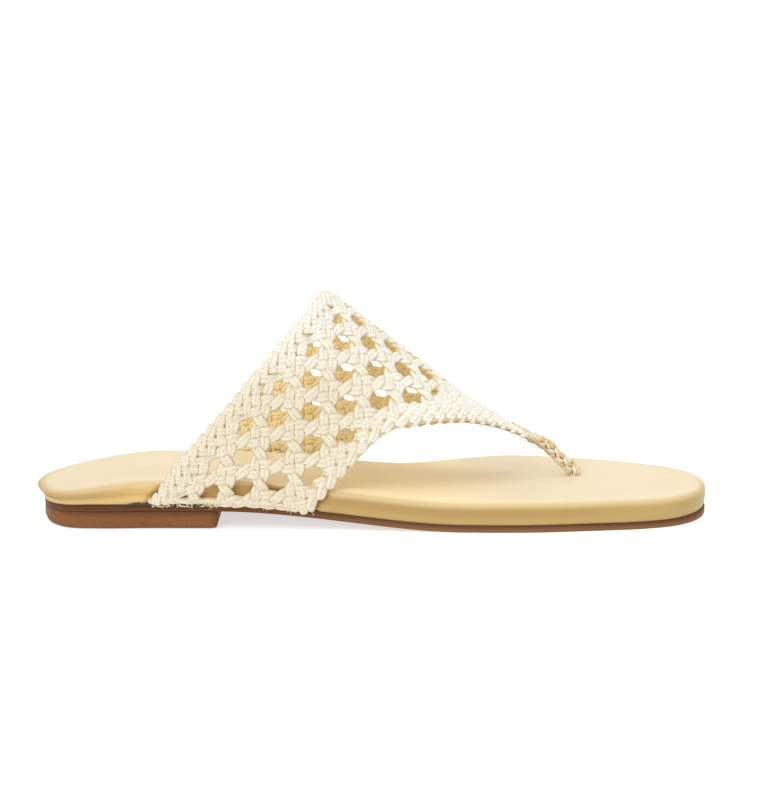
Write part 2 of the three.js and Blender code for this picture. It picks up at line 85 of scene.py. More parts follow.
class Graph:
    def __init__(self, tree):
        self.tree = tree

    def feed(self, socket, value):
        if isinstance(value, Wire):
            self.tree.links.new(value.socket, socket)
        else:
            socket.default_value = value

    def node(self, kind, values=None, settings=None, out=0):
        made = self.tree.nodes.new(kind)
        for name, value in (settings or {}).items():
            setattr(made, name, value)
        for name, value in (values or {}).items():
            self.feed(made.inputs[name], value)
        return Wire(self, made.outputs[out])

    def attribute(self, name):
        return self.node("ShaderNodeAttribute", None, {"attribute_name": name}, "Fac")

    def mix(self, share, first, second):  # colours
        made = self.tree.nodes.new("ShaderNodeMix")
        made.data_type = "RGBA"
        sockets = [s for s in made.inputs if s.enabled]
        for socket, value in zip(sockets, (share, first, second)):
            self.feed(socket, (*value, 1) if isinstance(value, tuple) else value)
        return Wire(self, next(s for s in made.outputs if s.enabled))

    def places(self, scale=(1, 1, 1)):  # the piece's own coordinates, stretched
        start = self.node("ShaderNodeTexCoord", out="Object")
        return self.node("ShaderNodeMapping", {"Vector": start, "Scale": scale})

    def place(self, axis):  # metres along X, Y or Z
        start = self.node("ShaderNodeTexCoord", out="Object")
        return self.node("ShaderNodeSeparateXYZ", {0: start}, out=axis)

    def noise(self, vector, scale, detail=3, roughness=0.5):
        values = {"Vector": vector, "Scale": scale, "Detail": detail, "Roughness": roughness}
        return self.node("ShaderNodeTexNoise", values)

    def bump(self, height, distance, strength=1.0):
        values = {"Height": height, "Distance": distance, "Strength": strength}
        return self.node("ShaderNodeBump", values)

    def vector(self, x, y, z):
        return self.node("ShaderNodeCombineXYZ", {0: x, 1: y, 2: z})


def newMaterial(name, paint):
    material = bpy.data.materials.new(name)
    material.use_nodes = True
    graph = Graph(material.node_tree)
    shader = material.node_tree.nodes["Principled BSDF"]
    for socket, value in paint(graph).items():
        graph.feed(shader.inputs[socket], value)
    return material


# Curves and shares, the same as in the part's source

def share(low, high, value):
    return np.clip((value - low) / (high - low), 0, 1)


def ease(low, high, value):
    t = share(low, high, value)
    return t * t * (3 - 2 * t)


def blend(first, second, t):
    return first + (second - first) * t


def unit(vectors):
    return vectors / np.linalg.norm(vectors, axis=-1, keepdims=True)


def runLength(points):
    return np.concatenate([[0], np.cumsum(np.linalg.norm(np.diff(points, axis=0), axis=1))])


def smoothLine(points, closed=False, even=True, steps=40):
    points = np.array(points, float)
    count = len(points)
    t = np.arange(steps)[:, None] / steps
    pieces = []
    for n in range(count if closed else count - 1):
        near = np.arange(n - 1, n + 3)
        p = points[near % count if closed else near.clip(0, count - 1)]
        if even:
            a, b = (p[2] - p[0]) / 2, (p[3] - p[1]) / 2
        else:
            d = [max(np.linalg.norm(p[i + 1] - p[i]), 1e-9) ** 0.5 for i in range(3)]
            a = ((p[1] - p[0]) / d[0] - (p[2] - p[0]) / (d[0] + d[1]) + (p[2] - p[1]) / d[1]) * d[1]
            b = ((p[2] - p[1]) / d[1] - (p[3] - p[1]) / (d[1] + d[2]) + (p[3] - p[2]) / d[2]) * d[1]
        rise = p[2] - p[1]
        pieces.append(p[1] + a * t + (3 * rise - 2 * a - b) * t ** 2 + (a + b - 2 * rise) * t ** 3)
    line = np.concatenate(pieces + [points[:1] if closed else points[-1:]])
    return line, runLength(line)


def alongLine(line, length, places):
    return np.stack([np.interp(places, length, line[:, c]) for c in range(line.shape[1])], -1)


# Sole: outline, heights and inset rings

sole = {
    "length": 256.2,
    "ballWidth": 88,
    "heelHeight": 6.6,
    "thickness": 2.6,
    "inset": 0.9,
    "setback": 2,
    "setbackLength": 36,
    "toeSpring": 0.6,
    "toeSpringLength": 26,
    "shankFront": 36,
    "gap": 0.3,
}
heelBlock = {
    "length": 68,
    "inset": 1.3,
    "setback": 1.9,
    "breastSlant": 0.1,
    "breastBack": 0.6,
    "edgeRadius": 2.4,
    "cornerRadius": 1.0,
    "cornerRun": 2.2,
    "edgeHeightShare": 0.62,
    "breastBow": 0.25,
    "lap": 0.24,
    "stations": 60,
}
outsole = {
    "side": [(0.3, 0.0), (0.1, 0.05), (0.02, 0.2), (0, 0.5), (0.04, 0.95), (0.2, 1.06)],
    "toeForward": 0.8,
    "toeRun": (70, 120),
    "stations": 130,
}
soleOutline = [
    (0.0, -0.18), (0.006, -0.44), (0.0215, -0.69), (0.052, -0.85), (0.1, -0.892), (0.18, -0.878),
    (0.33, -0.892), (0.48, -0.93), (0.6, -0.985), (0.73, -0.997), (0.82, -0.935), (0.9, -0.855),
    (0.952, -0.73), (0.986, -0.5), (1.0, -0.16), (0.993, 0.14), (0.968, 0.42), (0.92, 0.635),
    (0.86, 0.8), (0.78, 0.945), (0.71, 0.998), (0.65, 0.9), (0.6, 0.745), (0.55, 0.56),
    (0.49, 0.475), (0.38, 0.468), (0.26, 0.495), (0.16, 0.51), (0.09, 0.48), (0.04, 0.37),
    (0.0115, 0.14),
]
back = -sole["length"] / 2
breastX = heelBlock["inset"] + heelBlock["setback"] + heelBlock["length"] - sole["length"] / 2
outlineLine, outlineLength = smoothLine(
    [((a - 0.5) * sole["length"], c * sole["ballWidth"] / 2) for a, c in soleOutline],
    closed=True, even=False,
)
outline = alongLine(outlineLine, outlineLength, np.linspace(0, outlineLength[-1], 641)[:-1])


def insetOutline(inset, setback=0.0):
    run = unit(np.roll(outline, -1, 0) - np.roll(outline, 1, 0))
    forward = setback * (1 - share(back, back + sole["setbackLength"], outline[:, 0])) ** 2
    return np.stack([outline[:, 0] - run[:, 1] * inset + forward, outline[:, 1] + run[:, 0] * inset], 1)


def insetSides(inset, setback=0.0):
    ring = insetOutline(inset, setback)
    rear, toe = int(ring[:, 0].argmin()), int(ring[:, 0].argmax())
    count = len(ring)
    outer = ring[(rear + np.arange((toe - rear) % count + 1)) % count]
    inner = ring[(toe + np.arange((rear - toe) % count + 1)) % count]
    return outer, inner[::-1]


def sideAt(side, x):
    return np.interp(x, np.maximum.accumulate(side[:, 0]), side[:, 1])


outerEdge, innerEdge = insetSides(0)


def soleRise(x):
    spring = share(sole["length"] / 2 - sole["toeSpringLength"], sole["length"] / 2, x)
    lift = sole["heelHeight"] + sole["gap"]
    return lift * (1 - ease(breastX, sole["shankFront"], x)) + sole["toeSpring"] * spring ** 2


def seatRise(x):
    return soleRise(x) + sole["thickness"]


def ringAt(inset, setback, stations):
    outer, inner = insetSides(inset, setback)
    turn = np.linspace(0, math.pi, stations + 1)
    x = blend(outer[0, 0], outer[-1, 0], (1 - np.cos(turn)) / 2)
    near, far = (np.stack([x, sideAt(edge, x)], 1) for edge in (outer, inner))
    return np.concatenate([near, far[-2:0:-1]])


# Meshes from grids of points

def addObject(name, data):
    made = bpy.data.objects.new(name, data)
    bpy.context.scene.collection.objects.link(made)
    return made


def storeColumn(mesh, title, values, kind="FLOAT", key="value"):
    layer = mesh.attributes.new(title, kind, "POINT")
    layer.data.foreach_set(key, np.asarray(values, np.float32).ravel())


def meshPiece(name, points, faces, material, attributes=None):
    mesh = bpy.data.meshes.new(name)
    mesh.from_pydata((np.asarray(points, float) * mm).tolist(), [], faces)
    for title, values in (attributes or {}).items():
        storeColumn(mesh, title, values)
    mesh.materials.append(material)
    mesh.polygons.foreach_set("use_smooth", [True] * len(mesh.polygons))
    mesh.update()
    piece = addObject(name, mesh)
    closeUp(piece)
    return piece


def ringPiece(name, points, faces, material, title, rises):
    return meshPiece(name, np.concatenate(points), faces, material, {title: np.concatenate(rises)})


def closeUp(piece, distance=2e-6):
    shape = bmesh.new()
    shape.from_mesh(piece.data)
    bmesh.ops.remove_doubles(shape, verts=shape.verts, dist=distance)
    bmesh.ops.recalc_face_normals(shape, faces=shape.faces)
    shape.to_mesh(piece.data)
    shape.free()
    piece.data.update()


def ringFaces(rings, count):
    grid = np.arange(rings * count).reshape(rings, count)
    after = np.roll(grid, -1, 1)
    return np.stack([grid[:-1], after[:-1], after[1:], grid[1:]], -1).reshape(-1, 4).tolist()


def facesAcross(start, count, up):  # a flat cap between the two sides of a ring
    faces = []
    for j in range(count // 2):
        corners = (j, j + 1, count - j - 1, (count - j) % count)
        corners = list(dict.fromkeys(start + c for c in corners))
        if len(corners) > 2:
            faces.append(tuple(corners if up else corners[::-1]))
    return faces


def settle(piece, stands=()):
    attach(piece, "root")
    if stands:
        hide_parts(*stands)


# Footbed: padded and wrapped in leather

footbed = {
    "thickness": 8.9,
    "heelRimFall": 5.2,
    "heelRimLength": 46,
    "fullRise": 0.6,
    "stations": 170,
    "levels": 30,
    "domeRows": 12,
    "rollStart": 48,
    "rollEnd": 100,
    "heelLap": 0.9,
    "heelLapLength": 26,
    "spineRear": 30,
    "spineFront": 36,
    "hollows": [(0.7, -86.1, 26), (0.5, 45, 30)],
    "hollowEdge": 20,
    "wingSeat": 2.5,
    "wingSeatFade": 4,
    "pressTop": (0.7, 0.98),
    "ripple": 0.1,
    "fill": 0.75,
    "seed": 4,
}
footbedLift = sole["thickness"] + sole["gap"]

# inset, and share of the height, up the side: the roll at the heel has a crease under it
foreSide = [(0.8, 0), (0.6, 0.05), (0.42, 0.16), (0.25, 0.34), (0.1, 0.52), (0.05, 0.66), (0.35, 0.79),
            (1.1, 0.89), (2.4, 0.955), (4.2, 0.988), (6.5, 0.998), (9, 1.0)]
heelRoll = [(0.6, 0), (0.5, 0.06), (0.55, 0.15), (1.1, 0.27), (1.45, 0.35), (0.85, 0.45), (0.45, 0.57),
            (0.8, 0.72), (1.9, 0.86), (3.8, 0.95), (6.5, 0.99), (9, 1.0)]


def padLevel(x, rise):
    fall = footbed["heelRimFall"] * rise * (1 - ease(back, back + footbed["heelRimLength"], x))
    return soleRise(x) + footbedLift + rise * footbed["thickness"] - fall


def wingPress(x, z, side):  # how far the upper's foot presses the padded side in
    g = side * np.linspace(50, 122, 200)
    wing = [shell(edgeAt(g), g)[::-1] for edgeAt in (rearAt, frontAt)]
    rearX, frontX = [np.interp(z, line[:, 2], line[:, 0]) for line in wing]
    fade = footbed["wingSeatFade"]
    inside = ease(rearX - fade, rearX + 1.5, x) * (1 - ease(frontX - 1.5, frontX + fade, x))
    return footbed["wingSeat"] * inside


def makeFootbed(material):
    rng = np.random.default_rng(footbed["seed"])
    sizes, starts = rng.normal(size=8) * footbed["ripple"], rng.random(8) * 6
    stations = footbed["stations"]
    count = 2 * stations
    base = ringAt(0, 0, stations)
    x = base[:, 0]
    side = np.where(np.arange(count) <= stations, -1, 1)
    run = unit(np.roll(base, -1, 0) - np.roll(base, 1, 0))
    rolled = 1 - ease(back + footbed["rollStart"], back + footbed["rollEnd"], x)
    lap = footbed["heelLap"] * (1 - ease(back, back + footbed["heelLapLength"], x))
    forward = sole["setback"] * (1 - share(back, back + sole["setbackLength"], x)) ** 2
    wave = sum(sizes[k] * np.sin(x * (0.05 + 0.04 * k) + starts[k] + side) for k in range(8))
    sides = []
    for profile in (foreSide, heelRoll):
        line, length = smoothLine(profile)
        sides.append(alongLine(line, length, np.linspace(0, length[-1], footbed["levels"])))
    points, rises = [], []
    for fore, heel in zip(*sides):
        inset = blend(fore[0], heel[0], rolled)
        rise = blend(fore[1], heel[1], rolled)
        z = padLevel(x, rise) - lap * (1 - share(0, 0.15, rise))
        press = np.where(side < 0, wingPress(x, z, -1), wingPress(x, z, 1))
        inset += press * (1 - share(*footbed["pressTop"], rise))
        inset -= wave * np.sin(np.clip(rise, 0, 1) * math.pi)
        shift = forward * (1 - share(0, footbed["fullRise"], rise))
        points.append(np.stack([x - run[:, 1] * inset + shift, base[:, 1] + run[:, 0] * inset, z], 1))
        rises.append(rise)
    top = points[-1]
    mirror = top[(count - np.arange(count)) % count]
    near, far = top[:stations + 1], mirror[:stations + 1]
    spineX = (top[:, 0] + mirror[:, 0]) / 2
    spineX = spineX.clip(top[0, 0] + footbed["spineRear"], top[stations, 0] - footbed["spineFront"])
    spineY = (sideAt(near[:, :2], spineX) + sideAt(far[:, :2], spineX)) / 2
    middle = np.stack([spineX, spineY, top[:, 2]], 1)
    for row in range(1, footbed["domeRows"] + 1):
        t = row / footbed["domeRows"]
        ring = blend(top, middle, t)
        hollow = sum(a * np.exp(-((ring[:, 0] - b) / c) ** 2) for a, b, c in footbed["hollows"])
        inward = np.hypot(*(ring - top)[:, :2].T)
        ring[:, 2] = padLevel(ring[:, 0], 1.0) - hollow * ease(0, footbed["hollowEdge"], inward)
        points.append(ring)
        rises.append(np.full(count, 1 + t))
    faces = ringFaces(len(points), count) + facesAcross(0, count, False)
    return ringPiece("footbedPad", points, faces, material, "padRise", rises)


# Outsole and heel block

def makeOutsole(material):
    side = outsole["side"]
    count = 2 * outsole["stations"]
    points, rises = [], []
    for inset, rise in side:
        ring = ringAt(sole["inset"] + inset, sole["setback"], outsole["stations"])
        ring[:, 0] += outsole["toeForward"] * share(*outsole["toeRun"], ring[:, 0])
        points.append(np.column_stack([ring, soleRise(ring[:, 0]) + rise * sole["thickness"]]))
        rises.append(np.full(count, rise))
    faces = ringFaces(len(side), count)
    faces += facesAcross(0, count, False) + facesAcross((len(side) - 1) * count, count, True)
    return ringPiece("outsoleLeather", points, faces, material, "edgeRise", rises)


def makeHeel(material):
    radius, height = heelBlock["edgeRadius"], sole["heelHeight"]
    turns = np.linspace(0, math.pi / 2, 7)
    rise = radius * heelBlock["edgeHeightShare"]
    levels = [(radius * (1 - math.sin(a)), rise * (1 - math.cos(a))) for a in turns]
    levels += [(0, height * part) for part in (0.4, 0.6, 0.8, 0.96)] + [(0.1, height + heelBlock["lap"])]
    turns = np.linspace(0, math.pi / 2, heelBlock["stations"] + 1)
    points, rises = [], []
    for inset, z in levels:
        outer, inner = insetSides(heelBlock["inset"] + inset, heelBlock["setback"])
        front = breastX - heelBlock["breastBack"] - heelBlock["breastSlant"] * (1 - z / height) - inset * 0.4
        x = blend(outer[0, 0], front, 1 - np.cos(turns))
        corner = heelBlock["cornerRadius"] * share(front - heelBlock["cornerRun"], front, x) ** 3
        near = np.stack([x, sideAt(outer, x) + corner], 1)
        far = np.stack([x, sideAt(inner, x) - corner], 1)
        t = np.linspace(0, 1, 9)[1:-1]
        bow = heelBlock["breastBow"] * np.sin(t * math.pi)
        breast = np.stack([front + bow, blend(near[-1, 1], far[-1, 1], t)], 1)
        ring = np.concatenate([near, breast, far[1:][::-1]])
        points.append(np.column_stack([ring, np.full(len(ring), z)]))
        rises.append(np.full(len(ring), z / height))
    count = len(points[0])
    last = (len(levels) - 1) * count
    faces = ringFaces(len(levels), count)
    faces += [tuple(range(count))[::-1], tuple(last + i for i in range(count))]
    return ringPiece("heelStack", points, faces, material, "edgeRise", rises)


# The upper's surface, the same as in the part's source

upper = {
    "peakX": -17.8,
    "crestY": 4.1,
    "peakZ": 83.7,
    "ridgeAngle": 37.8,
    "sectionAngle": 42,
    "instepDrop": 95.1,
    "lateralReach": 44.1,
    "medialReach": 18,
    "medialAdvance": 6,
    "sectionSkew": 0.042,
    "wingWidth": 49.2,
    "rearEdgeTuck": 2.4,
    "strapEnd": 97,
    "strapLift": 0.13,
    "strapLiftStart": 71,
    "strapLiftSoftness": 10,
    "tuckInset": 1.6,
    "tuckHeight": 6,
    "hugHeight": 26,
    "sideStart": 45,
    "sideEnd": 57,
}
lateralSection = [(1.0, 1.09), (1.0, 1.0), (1.054, 0.831), (1.043, 0.639), (0.9705, 0.436), (0.85, 0.242),
                  (0.633, 0.085), (0.297, 0.0116)]
medialSection = [(0.36, 0.022), (0.66, 0.075), (0.9, 0.19), (1.03, 0.38), (1.07, 0.6), (1.04, 0.8),
                 (1.0, 1.0), (1.0, 1.09)]
frontEdge = [(0, 108), (0, 80), (-0.2, 64), (0.7, 51), (3.8, 43), (8.5, 37.5), (14, 31), (21.5, 23.5),
             (29, 17), (36.5, 11.5), (44, 7.4), (52, 5.2), (60, 4.2)]
postRoute = [(0.22, 0.13), (0.47, 0.37), (0.69, 0.67), (0.89, 0.93)]
postFoot = (80.5, 3.8)
sectionLine, sectionLength = smoothLine(
    [(-side * upper["lateralReach"], drop * upper["instepDrop"]) for side, drop in lateralSection]
    + [(0, 0)]
    + [(side * upper["medialReach"], drop * upper["instepDrop"]) for side, drop in medialSection]
)
crestLength = sectionLength[len(lateralSection) * 40]
edgeLine = smoothLine([(upper["wingWidth"] + ahead, fromRidge) for ahead, fromRidge in frontEdge])[0]


def shell(along, around):
    along, around = np.broadcast_arrays(np.asarray(along, float), np.asarray(around, float))
    reach = np.clip(crestLength + around, 0, sectionLength[-1])
    out = np.interp(reach, sectionLength, sectionLine[:, 0])
    drop = np.interp(reach, sectionLength, sectionLine[:, 1])
    past = along - upper["strapLiftStart"]
    up = upper["strapLift"] / 2 * (past + np.hypot(past, upper["strapLiftSoftness"])) - drop
    inner = np.maximum(out, 0) / upper["medialReach"]
    ridge, tilt = math.radians(upper["ridgeAngle"]), math.radians(upper["sectionAngle"])
    x = upper["peakX"] + along * math.cos(ridge) + up * math.sin(tilt)
    x = x + upper["sectionSkew"] * out + upper["medialAdvance"] * inner ** 2
    z = upper["peakZ"] - along * math.sin(ridge) + up * math.cos(tilt)
    inset = upper["tuckInset"] * (1 - share(0, upper["tuckHeight"], z - seatRise(x))) ** 2
    hug = 1 - ease(0, upper["hugHeight"], z - seatRise(x))
    hug = hug * ease(upper["sideStart"], upper["sideEnd"], np.abs(around))
    edge = np.where(around < 0, sideAt(outerEdge, x) + inset, sideAt(innerEdge, x) - inset)
    return np.stack([x, blend(upper["crestY"] + out, edge, hug), z], -1)


def shellNormal(along, around):
    step = 0.6
    forward = shell(along + step, around) - shell(along - step, around)
    over = shell(along, around + step) - shell(along, around - step)
    return unit(np.cross(forward, over))


def rearAt(around):
    return upper["rearEdgeTuck"] * ease(100, 122, np.abs(around))


def frontAt(around):
    return np.interp(np.abs(around), edgeLine[::-1, 1], edgeLine[::-1, 0])


# Edges of the upper: places along an edge and in from it

def makeEdge(s, g, inwardSign):
    path = np.stack([s, g], 1)
    run = unit(np.gradient(path, axis=0))
    inS, inG = inwardSign * run[:, 1], -inwardSign * run[:, 0]
    return {"length": runLength(path), "s": s, "g": g, "inS": inS, "inG": inG}


def onEdge(edge, u, d):
    s, g, inS, inG = (np.interp(u, edge["length"], edge[name]) for name in ("s", "g", "inS", "inG"))
    return s + inS * d, g + inG * d


rearG = np.linspace(-122, 112, 300)
lastEdge = int(np.searchsorted(edgeLine[:, 0], upper["strapEnd"] + 1))
edges = {
    "rear": makeEdge(rearAt(rearG), rearG, 1),
    "near": makeEdge(edgeLine[:lastEdge, 0], -edgeLine[:lastEdge, 1], -1),
    "far": makeEdge(edgeLine[:lastEdge, 0], edgeLine[:lastEdge, 1], 1),
}


def footEdge(side):  # just above the sole, from the rear border to the front one
    s = np.linspace(2.5, upper["wingWidth"] - 1, 60)
    g = side * np.linspace(60, 122, 400)
    points = shell(s[:, None], g[None, :])
    rise = points[..., 2] - seatRise(points[..., 0])
    return makeEdge(s, np.array([np.interp(-1.3, -row, g) for row in rise]), -side)


edges["nearFoot"] = footEdge(-1)
edges["farFoot"] = footEdge(1)


# Cords: lines over the surface, each swept by a flat two-ply section

cord = {
    "width": 3.7,
    "thickness": 1.8,
    "groove": 0.3,
    "sides": 12,
    "step": 0.9,
    "fineStep": 0.7,
    "seed": 11,
}
weave = {
    "firstRow": 8.6,
    "alongStep": 7.5,
    "alongGrowth": 0.13,
    "aroundStep": 9.58,
    "crest": 12,
    "medialSlip": 7.4,
    "medialSlipRun": 26,
    "medialBack": 1.4,
    "rearDraw": 1.8,
    "rise": 0.68,
    "pairShare": 0.142,
    "swapStart": 0.2,
    "edgeShare": 0.235,
    "rearEdge": 3.6,
    "frontBand": 5.4,
    "holeReach": 4.4,
    "strapStart": 63.5,
    "sample": 0.05,
    "endFade": 0.22,
}


def latticePlace(k, m):
    g = (m - weave["crest"]) * weave["aroundStep"]
    past = ease(0, weave["medialSlipRun"], g)
    g = g - weave["medialSlip"] * past
    s = weave["firstRow"] + k * (weave["alongStep"] + k * weave["alongGrowth"]) - weave["medialBack"] * past
    return s + weave["rearDraw"] * ease(80, 105, np.abs(g)) * np.clip(1 - k, 0, 1.4), g


def crossings(first, low, high):  # the cord is over at one crossing of a pair and under at the next
    events = []
    for q in range(low, high):
        over = 1 if (q + first) % 2 == 0 else -1
        middle = q + 0.5
        events += [(middle - weave["pairShare"], -over), (middle + weave["pairShare"], over), (q + 1, -over)]
    return np.array(events, float)


def cordPath(family, n, turn):
    # family 0 runs down the near side and forward, family 1 crosses it; the two cords of a pair trade places
    t = np.arange(-4, 28, weave["sample"])
    sign = (1 if turn == 0 else -1) * (1 if family == 0 else -1)
    k = t - n - 0.5 if family == 0 else n + 0.5 - t
    held = ease(-0.05, -0.6, k)
    node = np.floor(t - 0.5)
    swap = 1 - 2 * ease(weave["swapStart"], 1 - weave["swapStart"], t - 0.5 - node)
    offset = weave["pairShare"] * sign * swap * np.where(node % 2 == 0, 1, -1)
    edgeSign = sign * (1 if n % 2 == 0 else -1)
    offset = blend(offset, weave["edgeShare"] * edgeSign, held)
    events = crossings(turn, -5, 29)
    height = np.interp(t, events[:, 0], events[:, 1])
    height = np.sin(np.clip(height, -1, 1) * math.pi / 2)
    i, j = (t, n + 0.5 + offset) if family == 0 else (n + 0.5 + offset, t)
    s, g = latticePlace(i - j, i + j)
    return s, g, height


def runsOf(flags):
    marks = np.flatnonzero(np.diff(np.concatenate([[0], flags.astype(int), [0]])))
    return zip(marks[::2], marks[1::2])


def evenSteps(point, normal, scale, step=cord["fineStep"]):
    length = runLength(point)
    places = np.linspace(0, length[-1], max(int(round(length[-1] / step)), 3) + 1)
    made = {"along": places}
    for name, values in (("point", point), ("normal", normal), ("scale", scale[:, None])):
        made[name] = alongLine(values, length, places)
    return made


def cordLine(s, g, height, scale):
    normal = shellNormal(s, g)
    return evenSteps(shell(s, g) + normal * height[:, None], normal, scale, cord["step"])


def fieldLines(family):
    for n in range(-3, 27):
        for turn in (0, 1):
            s, g, height = cordPath(family, n, turn)
            point = shell(s, g)
            inside = (s > weave["rearEdge"] + rearAt(g)) & (s < weave["strapStart"]) & (np.abs(g) < 124)
            inside &= (s < frontAt(g) - weave["frontBand"]) & (point[:, 2] > seatRise(point[:, 0]) + 0.7)
            for a, b in runsOf(inside):
                if b - a < 6:
                    continue
                ends = np.minimum(np.arange(b - a), np.arange(b - a)[::-1]) * weave["sample"]
                fade = ease(0, weave["endFade"], ends)
                up = height[a:b] * (0.25 + 0.75 * fade) * weave["rise"]
                yield cordLine(s[a:b], g[a:b], up, (0.86 + 0.14 * fade) * (1 + 0.07 * height[a:b]))


border = {
    # each pair is a value beside the wing and one along the strap
    "rear": {"spacing": (5.0, 5.0), "rows": [
        {"inset": 2.0, "angle": (-0.4, -0.46), "length": (7.2, 7.2), "width": 1.12},
        {"inset": 4.4, "angle": (0.8, 0.75), "length": (5.4, 5.4), "width": 1.04},
        {"inset": 6.6, "angle": (-0.63, -0.63), "length": (5.4, 5.4), "width": 1.0},
    ]},
    "near": {"spacing": (5.6, 4.8), "rows": [
        {"inset": 2.2, "angle": (0.44, 0.74), "length": (7.2, 5.6), "width": 1.15},
        {"inset": 4.7, "angle": (-0.68, -0.7), "length": (6.0, 5.4), "width": 1.1},
        {"inset": 7.0, "angle": (0.72, 0.7), "length": (5.8, 5.4), "width": 1.0},
    ]},
    "turnStart": 50,
    "turnEnd": 85,
    "bulge": [(0, -0.5), (12, 1.2), (60, 1.4), (80, 0.7), (122, 0.5)],
    "edgeTilt": 0.35,
    "hump": 0.7,
    "strapHump": 0.3,
    "farInset": 1.5,
    "farInsetEnd": (55, 80),
    "sink": 0.25,
    "underInset": 2.1,
}
strap = {
    "rows": (2, 14),
    "rowStep": 2.45,
    "lap": 5,
    "width": 1.2,
    "angle": 0.7,
    "length": 5.5,
}
foot = {
    # each pair is a value and its spread
    "spacing": 5.0,
    "inset": (0.2, 0.5),
    "angle": (0.1, 0.14),
    "length": (8.0, 1.0),
    "width": 1.06,
    "hump": 0.35,
    "seed": 3,
}
holeK, holeM = np.meshgrid(np.arange(0, 6), np.arange(0, 25))
holes = np.stack(latticePlace(*(grid[(holeK + holeM) % 2 == 0] for grid in (holeK, holeM))), 1)


def nearHole(s, g):
    return np.hypot(holes[:, 0] - s, holes[:, 1] - g).min() < weave["holeReach"]


def farDraw(name, u):  # beside the wing, the far border lies further in than the near one
    return border["farInset"] * (1 - ease(*border["farInsetEnd"], u)) if name == "far" else 0


def stitchLine(edge, u, d, angle, length, side, width=1.0, tilt=0.0, hump=border["hump"]):
    t = np.linspace(-0.5, 0.5, 10)
    s, g = onEdge(edge, u + t * length * math.cos(angle), d + t * length * math.sin(angle))
    arch = 1 - (2 * t) ** 2
    height = side * (arch * (hump + border["sink"]) - border["sink"])
    normal = shellNormal(s, g)
    inward = shell(*onEdge(edge, u, 2.0)) - shell(*onEdge(edge, u, 0.0))
    point = shell(s, g) + normal * height[:, None]
    normal = normal * math.cos(tilt) - side * unit(inward) * math.sin(tilt)
    scale = width * (0.5 + 0.5 * np.clip(arch, 0, 1) ** 0.4)
    return evenSteps(point, normal, scale)


def turned(pair, u):
    return blend(*pair, ease(border["turnStart"], border["turnEnd"], u))


def stitchPlaces(edge, kind, row):
    u, places = 1.0, []
    while u < edge["length"][-1]:
        step = turned(kind["spacing"], u)
        places.append(u + 0.5 * (row % 2) * step)
        u += step
    return places


def borderLines(name):
    edge = edges[name]
    kind = border["rear" if name == "rear" else "near"]
    way = -1 if name == "far" else 1
    bulgeAt, bulge = np.array(border["bulge"]).T
    for row, stitch in enumerate(kind["rows"]):
        for u in stitchPlaces(edge, kind, row):
            s, g = onEdge(edge, u, stitch["inset"])
            out = np.interp(abs(g), bulgeAt, bulge) if name == "rear" else 0
            out -= farDraw(name, u)
            place = shell(s, g)
            pastMiddle = name != "rear" and g * way > -0.3
            if place[2] < seatRise(place[0]) + 0.6 or s > upper["strapEnd"] or pastMiddle:
                continue
            if row == 2 and nearHole(s, g):
                continue
            angle, length = turned(stitch["angle"], u), turned(stitch["length"], u)
            tilt = border["edgeTilt"] if row == 0 else 0
            hump = border["hump"] if name == "rear" else turned((border["hump"], border["strapHump"]), u)
            for side in (1, -1):
                d = stitch["inset"] - out + (border["underInset"] if side < 0 and row == 0 else 0)
                yield stitchLine(edge, u, d, angle, length, side, stitch["width"], tilt, hump)


def strapLines():
    kind = border["near"]
    for name, way in (("near", 1), ("far", -1)):
        edge = edges[name]
        for row in range(*strap["rows"]):
            d = kind["rows"][1]["inset"] + (row - 1) * strap["rowStep"]
            for u in stitchPlaces(edge, kind, row):
                s, g = onEdge(edge, u, d)
                outside = s < weave["strapStart"] - strap["lap"] or s > upper["strapEnd"] or g * way > 1.0
                if outside or nearHole(s, g):
                    continue
                angle = strap["angle"] * (1 if row % 2 == 0 else -1)
                for side in (1, -1):
                    yield stitchLine(edge, u, d, angle, strap["length"], side, strap["width"],
                                     hump=border["strapHump"])


def footLines():  # where the wings are pressed down between footbed and outsole
    rng = np.random.default_rng(foot["seed"])
    for name in ("nearFoot", "farFoot"):
        edge = edges[name]
        for u in np.arange(2.0, edge["length"][-1] - 1, foot["spacing"]):
            angle = foot["angle"][0] + rng.normal() * foot["angle"][1]
            d = foot["inset"][0] + rng.random() * foot["inset"][1]
            for side in (1, -1):
                place = u + rng.normal() * 0.3
                length = foot["length"][0] + rng.random() * foot["length"][1]
                yield stitchLine(edge, place, d, angle, length, side, foot["width"], hump=foot["hump"])


corner = {
    "places": [(-31.4, 0.6), (-28.6, -0.6), (-25.7, -1.2), (-22.9, 0.3)],
    "top": 4.2,
    "lean": 1.4,
    "proud": 0.1,
    "farAhead": 7,
}


def cornerLines():  # the front border's last cords lap down over the outsole's edge
    for x, low in corner["places"]:
        for side, edge in ((-1, outerEdge), (1, innerEdge)):
            t = np.linspace(0, 1, 12)
            px = x + corner["lean"] * (t - 0.3) + (corner["farAhead"] if side > 0 else 0)
            z = seatRise(px) + blend(corner["top"], low, t)
            arch = np.sin(t * math.pi)
            y = sideAt(edge, px) + side * (corner["proud"] + 0.5 * arch ** 0.7 - 0.5)
            normal = unit(np.column_stack([0 * t, side + 0 * t, 0.25 - 0.5 * t]))
            scale = 0.6 + 0.4 * np.clip(arch, 0, 1) ** 0.4
            yield evenSteps(np.column_stack([px, y, z]), normal, scale)


# Post: the strap's cords drawn together and braided down into the footbed

post = {
    "cords": 3,
    "sway": 1.25,
    "lift": 0.95,
    "pitch": 14.5,
    "spread": 2.7,
    "width": 3.0,
    "thickness": 2.3,
    "groove": 0.12,
    "knot": 0.12,
    "drawnStart": 3,
    "drawnEnd": 14,
}


